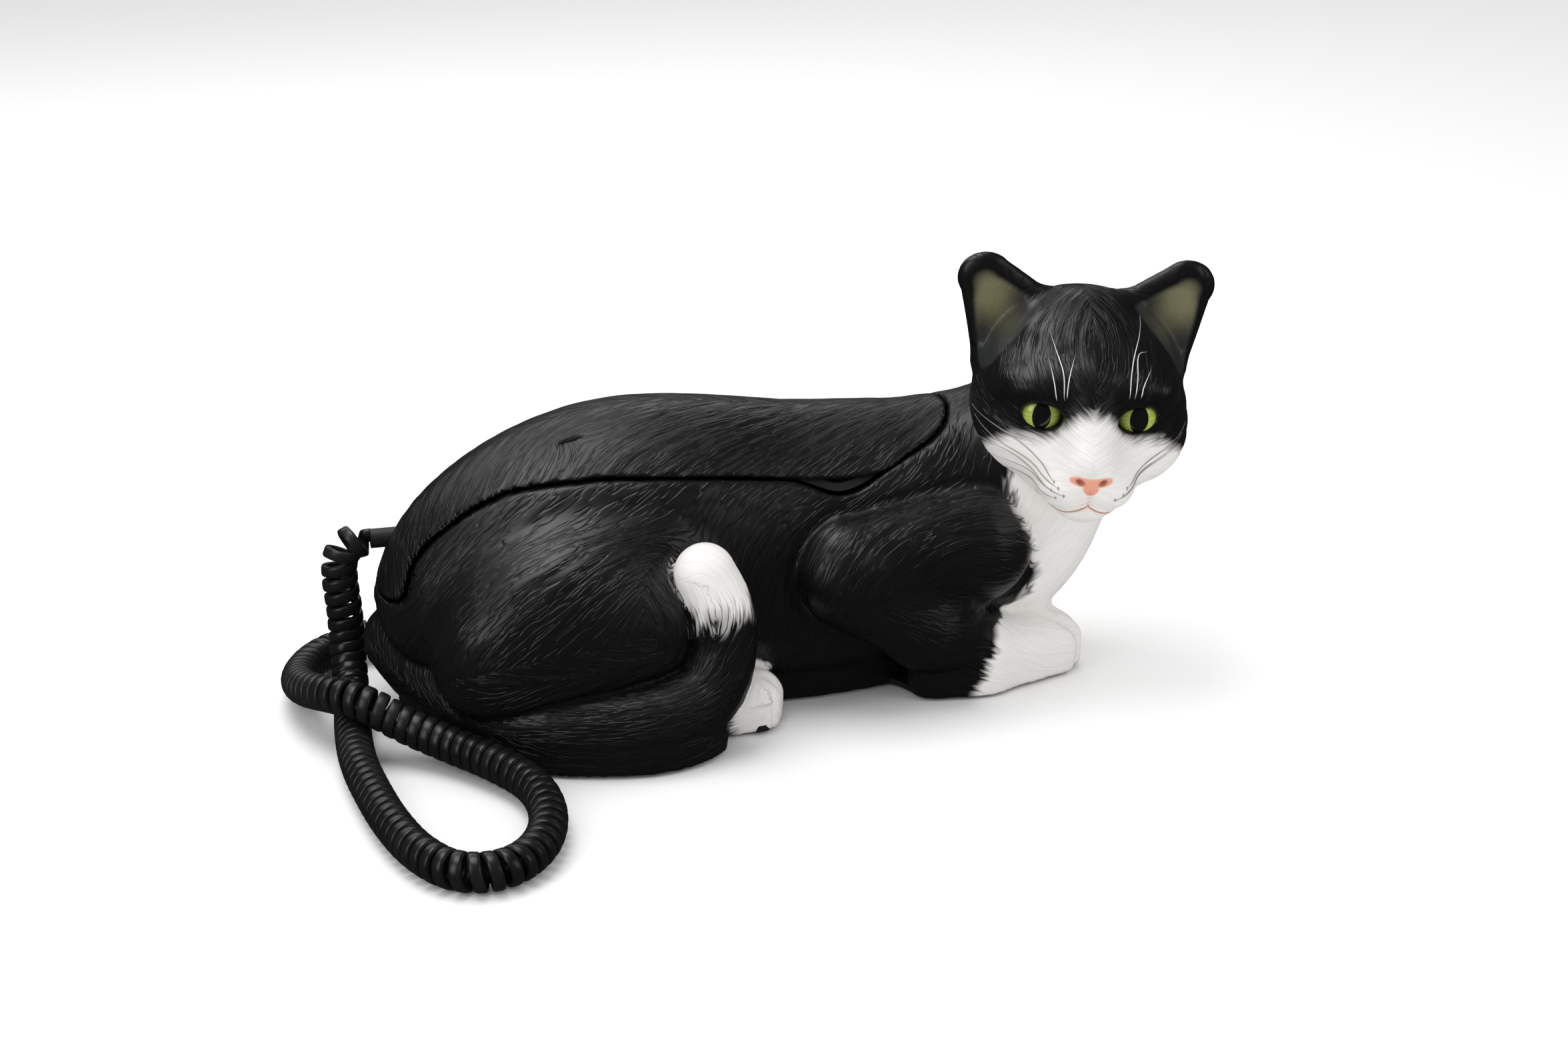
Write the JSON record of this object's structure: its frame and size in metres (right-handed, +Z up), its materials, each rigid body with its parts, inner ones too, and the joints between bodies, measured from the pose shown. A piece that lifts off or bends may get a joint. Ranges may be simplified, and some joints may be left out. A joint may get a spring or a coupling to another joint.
{
  "type": "novelty telephone",
  "caption": "Desk telephone shaped like a reclining cat: the back lifts off as the handset, with its keypad underneath, a curly cord and a cradle with a hook plunger inside.",
  "frame": {"origin": "centre of the cat's footprint box on the desk, measured without the cord", "axes": "+X along the lying body towards the chest and front paws, +Y to the cat's left, away from the side the head looks to, +Z up"},
  "size_m": [0.3379, 0.2248, 0.1591],
  "materials": {
    "black_casing": "semi-gloss painted shell with moulded fur",
    "handset_black": "semi-gloss painted shell with moulded fur",
    "inner_black": "fine moulded texture",
    "cover_black": "fine moulded texture",
    "rubber": "matte",
    "screw_steel": "zinc plated",
    "ballast": "rough",
    "board_green": "lacquered board",
    "component_dark": "moulded cases",
    "capsule_metal": "pressed",
    "jack_plastic": "moulded",
    "switch_plastic": "moulded",
    "key_mat": "silicone",
    "key_white": "moulded with printed numbers",
    "cord_black": "semi-gloss cord jacket",
    "eye_glass": "clear coated painted eye"
  },
  "bodies": {
    "base": {"ballast_plate": "ballast", "base_cord_jack": "jack_plastic", "board_components": "component_dark", "body_shell": "black_casing", "bottom_cover": "cover_black", "cord_plug_base": "cover_black", "cover_screws": "screw_steel", "cradle_pads": "rubber", "cradle_plate": "inner_black", "curly_cord": "cord_black", "dial_switch_body": "switch_plastic", "head_shell": "black_casing", "hook_switch": "switch_plastic", "hook_switch_screws": "screw_steel", "left_eye": "eye_glass", "line_jack": "jack_plastic", "main_board": "board_green", "main_board_screws": "screw_steel", "plunger_spring": "screw_steel", "right_eye": "eye_glass", "ringer_speaker": "capsule_metal", "ringer_switch_body": "switch_plastic", "rubber_feet": "rubber"},
    "handset": {"handset_shell": "handset_black", "handset_pan": "inner_black", "handset_screws": "screw_steel", "handset_board": "board_green", "handset_board_screws": "screw_steel", "key_mat": "key_mat", "receiver_gasket": "rubber", "receiver_capsule": "capsule_metal", "microphone_boot": "rubber", "microphone_capsule": "capsule_metal", "handset_jack": "jack_plastic", "cord_plug_handset": "cover_black"},
    "key_0": {"key_0": "key_white"},
    "key_1": {"key_1": "key_white"},
    "key_2": {"key_2": "key_white"},
    "key_3": {"key_3": "key_white"},
    "key_4": {"key_4": "key_white"},
    "key_5": {"key_5": "key_white"},
    "key_6": {"key_6": "key_white"},
    "key_7": {"key_7": "key_white"},
    "key_8": {"key_8": "key_white"},
    "key_9": {"key_9": "key_white"},
    "key_flash": {"key_flash": "key_white"},
    "key_hash": {"key_hash": "key_white"},
    "key_mute": {"key_mute": "key_white"},
    "key_redial": {"key_redial": "key_white"},
    "key_star": {"key_star": "key_white"},
    "hook_plunger": {"hook_plunger": "switch_plastic"},
    "ringer_slider": {"ringer_slider": "switch_plastic"},
    "dial_slider": {"dial_slider": "switch_plastic"}
  },
  "joints": [
    {"name": "handset_lift", "type": "slide", "parent": "base", "child": "handset", "axis": [0, 0, 1], "range_m": [0, 0.06]},
    {"name": "key_0_press", "type": "slide", "parent": "handset", "child": "key_0", "axis": [0, 0, 1], "range_m": [0, 0.0012], "stiffness_N_per_m": 200, "springref_m": -0.001},
    {"name": "key_1_press", "type": "slide", "parent": "handset", "child": "key_1", "axis": [0, 0, 1], "range_m": [0, 0.0012], "stiffness_N_per_m": 200, "springref_m": -0.001},
    {"name": "key_2_press", "type": "slide", "parent": "handset", "child": "key_2", "axis": [0, 0, 1], "range_m": [0, 0.0012], "stiffness_N_per_m": 200, "springref_m": -0.001},
    {"name": "key_3_press", "type": "slide", "parent": "handset", "child": "key_3", "axis": [0, 0, 1], "range_m": [0, 0.0012], "stiffness_N_per_m": 200, "springref_m": -0.001},
    {"name": "key_4_press", "type": "slide", "parent": "handset", "child": "key_4", "axis": [0, 0, 1], "range_m": [0, 0.0012], "stiffness_N_per_m": 200, "springref_m": -0.001},
    {"name": "key_5_press", "type": "slide", "parent": "handset", "child": "key_5", "axis": [0, 0, 1], "range_m": [0, 0.0012], "stiffness_N_per_m": 200, "springref_m": -0.001},
    {"name": "key_6_press", "type": "slide", "parent": "handset", "child": "key_6", "axis": [0, 0, 1], "range_m": [0, 0.0012], "stiffness_N_per_m": 200, "springref_m": -0.001},
    {"name": "key_7_press", "type": "slide", "parent": "handset", "child": "key_7", "axis": [0, 0, 1], "range_m": [0, 0.0012], "stiffness_N_per_m": 200, "springref_m": -0.001},
    {"name": "key_8_press", "type": "slide", "parent": "handset", "child": "key_8", "axis": [0, 0, 1], "range_m": [0, 0.0012], "stiffness_N_per_m": 200, "springref_m": -0.001},
    {"name": "key_9_press", "type": "slide", "parent": "handset", "child": "key_9", "axis": [0, 0, 1], "range_m": [0, 0.0012], "stiffness_N_per_m": 200, "springref_m": -0.001},
    {"name": "key_flash_press", "type": "slide", "parent": "handset", "child": "key_flash", "axis": [0, 0, 1], "range_m": [0, 0.0012], "stiffness_N_per_m": 200, "springref_m": -0.001},
    {"name": "key_hash_press", "type": "slide", "parent": "handset", "child": "key_hash", "axis": [0, 0, 1], "range_m": [0, 0.0012], "stiffness_N_per_m": 200, "springref_m": -0.001},
    {"name": "key_mute_press", "type": "slide", "parent": "handset", "child": "key_mute", "axis": [0, 0, 1], "range_m": [0, 0.0012], "stiffness_N_per_m": 200, "springref_m": -0.001},
    {"name": "key_redial_press", "type": "slide", "parent": "handset", "child": "key_redial", "axis": [0, 0, 1], "range_m": [0, 0.0012], "stiffness_N_per_m": 200, "springref_m": -0.001},
    {"name": "key_star_press", "type": "slide", "parent": "handset", "child": "key_star", "axis": [0, 0, 1], "range_m": [0, 0.0012], "stiffness_N_per_m": 200, "springref_m": -0.001},
    {"name": "hook_plunger_travel", "type": "slide", "parent": "base", "child": "hook_plunger", "axis": [0, 0, 1], "range_m": [0, 0.004], "deforming": ["plunger_spring"]},
    {"name": "ringer_switch_slide", "type": "slide", "parent": "base", "child": "ringer_slider", "axis": [1, 0, 0], "range_m": [0, 0.006]},
    {"name": "dial_switch_slide", "type": "slide", "parent": "base", "child": "dial_slider", "axis": [1, 0, 0], "range_m": [0, 0.006]}
  ],
  "couplings": [
    {"joint": "hook_plunger_travel", "follows": "handset_lift", "ratio": 0.0666}
  ]
}
